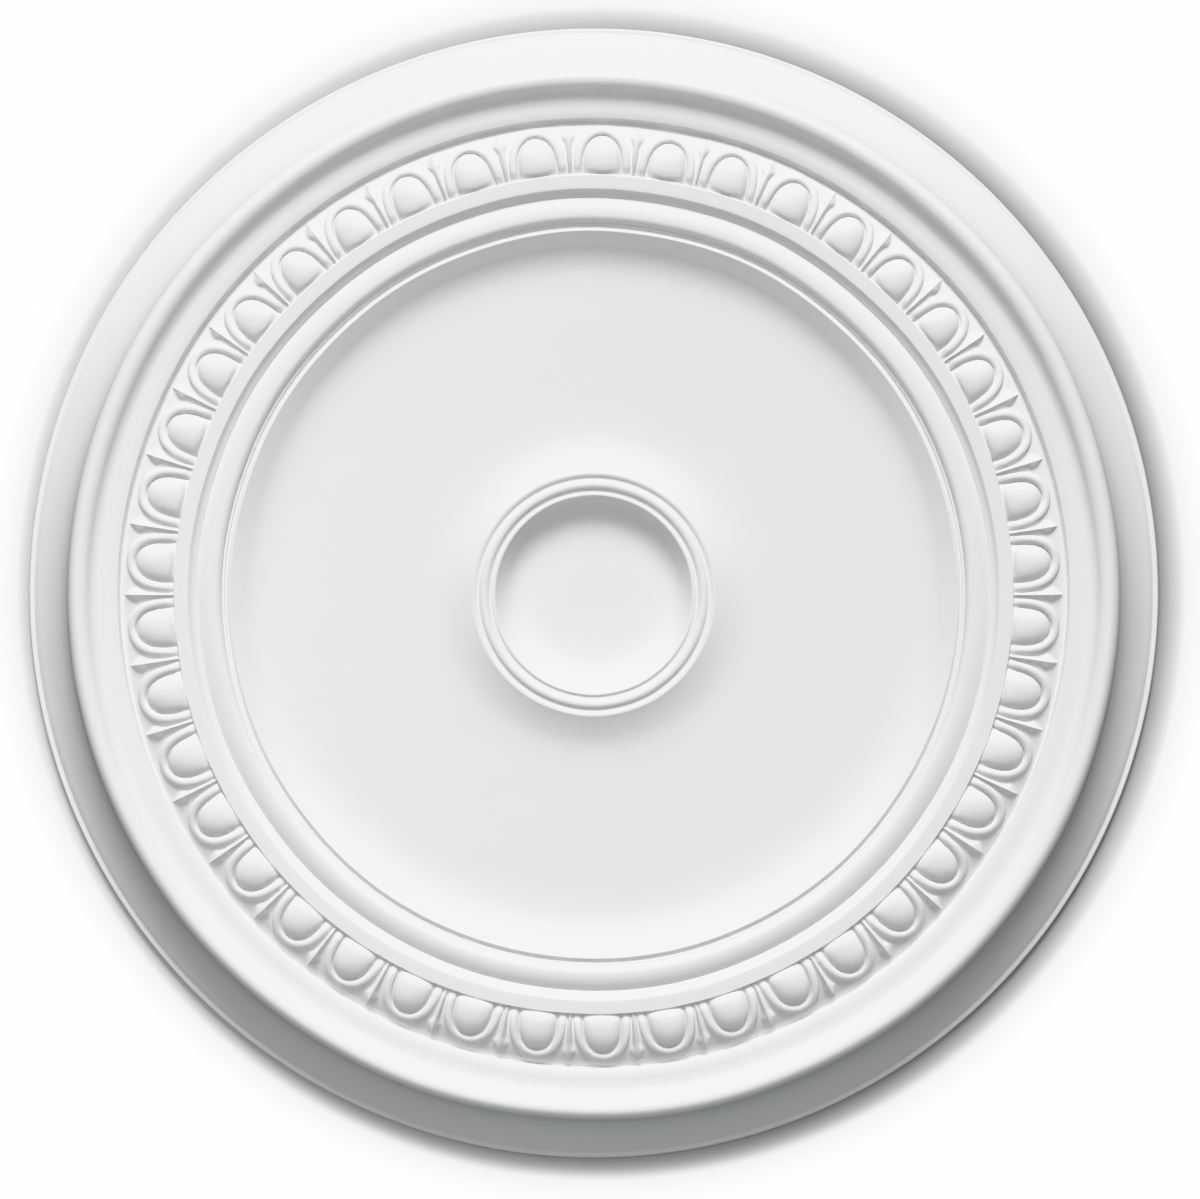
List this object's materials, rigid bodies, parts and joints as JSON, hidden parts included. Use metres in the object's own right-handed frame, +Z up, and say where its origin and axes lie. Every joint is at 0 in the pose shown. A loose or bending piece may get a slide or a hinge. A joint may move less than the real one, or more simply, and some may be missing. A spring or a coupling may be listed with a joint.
{
  "type": "ceiling rose",
  "caption": "Round moulded ceiling rose with a hollow outer cove, a rounded rim, an egg-and-dart band, a dished field and a plain centre recess.",
  "frame": {"origin": "centre of the flat back, where the rose meets the ceiling", "axes": "+Z points up into the ceiling and the moulded face looks down; a rose is round, so X and Y are free, and an egg's edge lies on +X"},
  "size_m": [0.62, 0.62, 0.034],
  "materials": {
    "primed_foam": "matt white primer on moulded hard foam"
  },
  "bodies": {
    "root": {"ceiling_rose": "primed_foam"}
  },
  "joints": []
}
